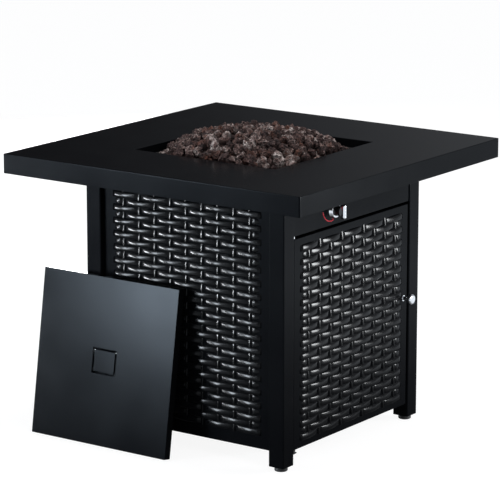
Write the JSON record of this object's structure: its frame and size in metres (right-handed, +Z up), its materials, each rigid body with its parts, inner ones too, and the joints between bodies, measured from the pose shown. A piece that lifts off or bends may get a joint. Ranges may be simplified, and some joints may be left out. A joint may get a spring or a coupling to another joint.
{
  "type": "propane fire table",
  "caption": "Square gas fire table in black steel with woven-look panels, a hinged tank door, a push-and-turn knob, a lava-rock bowl and a loose lid.",
  "frame": {"origin": "on the floor under the middle of the table top", "axes": "+Z up, the door and knob look along -Y, the lid leans on the -X side"},
  "size_m": [0.762, 0.762, 0.663],
  "materials": {
    "black_coat": "satin black powder coat",
    "pan_enamel": "matt black heat-proof enamel",
    "lava": "rough porous lava rock",
    "stainless": "brushed",
    "zinc": "bright zinc plate",
    "brass": "turned",
    "copper": "drawn",
    "alloy": "as cast or drawn",
    "chrome": "polished",
    "knob_black": "gloss",
    "white_ceramic": "fired, unglazed",
    "lead_sleeve": "matt",
    "black_plastic": "moulded"
  },
  "bodies": {
    "frame": {"air_mixer": "stainless", "base_tray": "black_coat", "burner": "stainless", "burner_lock_nut": "zinc", "burner_pan": "pan_enamel", "control_panel": "black_coat", "fixing_screws": "zinc", "flare_nuts": "brass", "front_left_cap_plate": "black_coat", "front_left_leg": "black_coat", "front_left_leg_plug": "black_plastic", "front_right_cap_plate": "black_coat", "front_right_leg": "black_coat", "front_right_leg_plug": "black_plastic", "gas_tube": "alloy", "hinge_bush": "black_plastic", "igniter_bracket": "stainless", "igniter_electrode": "white_ceramic", "igniter_lead": "lead_sleeve", "knob_bezel": "chrome", "lava_rocks": "lava", "left_panel": "black_coat", "lower_hinge_bracket": "black_coat", "lower_hinge_pin": "zinc", "magnet_catch": "black_plastic", "orifice_elbow": "brass", "rear_left_cap_plate": "black_coat", "rear_left_leg": "black_coat", "rear_left_leg_plug": "black_plastic", "rear_panel": "black_coat", "rear_right_cap_plate": "black_coat", "rear_right_leg": "black_coat", "rear_right_leg_plug": "black_plastic", "right_panel": "black_coat", "table_top": "black_coat", "tank_ring": "black_coat", "thermocouple": "stainless", "thermocouple_lead": "copper", "top_bolts": "zinc", "upper_hinge_pin": "zinc", "valve_body": "alloy", "valve_inlet_fitting": "brass", "valve_screws": "zinc", "weld_nuts": "zinc"},
    "door": {"door": "black_coat", "door_pull": "chrome", "door_pull_screw": "zinc", "strike_plate": "zinc"},
    "valve_push": {"valve_push_collar": "brass"},
    "gas_knob": {"valve_spindle": "brass", "control_knob": "knob_black", "knob_grip": "chrome"},
    "lid": {"lid": "black_coat", "lid_handle_cup": "black_coat", "lid_handle_pin": "zinc"},
    "lid_flap": {"lid_handle_flap": "black_coat"},
    "front_left_foot": {"front_left_foot": "black_plastic"},
    "front_right_foot": {"front_right_foot": "black_plastic"},
    "rear_left_foot": {"rear_left_foot": "black_plastic"},
    "rear_right_foot": {"rear_right_foot": "black_plastic"}
  },
  "joints": [
    {"name": "door_hinge", "type": "hinge", "parent": "frame", "child": "door", "pos_m": [-0.211, -0.249, 0.265], "axis": [0, 0, -1], "range_deg": [0, 100]},
    {"name": "knob_push", "type": "slide", "parent": "frame", "child": "valve_push", "axis": [0, 1, 0], "range_m": [0, 0.005], "stiffness_N_per_m": 1500, "springref_m": -0.002},
    {"name": "knob_turn", "type": "hinge", "parent": "valve_push", "child": "gas_knob", "pos_m": [-0.071, -0.254, 0.526], "axis": [0, -1, 0], "range_deg": [0, 200]},
    {"name": "lid_lift_away", "type": "slide", "parent": "frame", "child": "lid", "axis": [-1, 0, 0], "range_m": [0, 0.4]},
    {"name": "lid_flap_hinge", "type": "hinge", "parent": "lid", "child": "lid_flap", "pos_m": [-0.29563, 0.177, 0.20416], "axis": [0, 1, 0], "range_deg": [0, 80]},
    {"name": "front_left_leveller", "type": "slide", "parent": "frame", "child": "front_left_foot", "axis": [0, 0, -1], "range_m": [0, 0.01]},
    {"name": "front_right_leveller", "type": "slide", "parent": "frame", "child": "front_right_foot", "axis": [0, 0, -1], "range_m": [0, 0.01]},
    {"name": "rear_left_leveller", "type": "slide", "parent": "frame", "child": "rear_left_foot", "axis": [0, 0, -1], "range_m": [0, 0.01]},
    {"name": "rear_right_leveller", "type": "slide", "parent": "frame", "child": "rear_right_foot", "axis": [0, 0, -1], "range_m": [0, 0.01]}
  ]
}
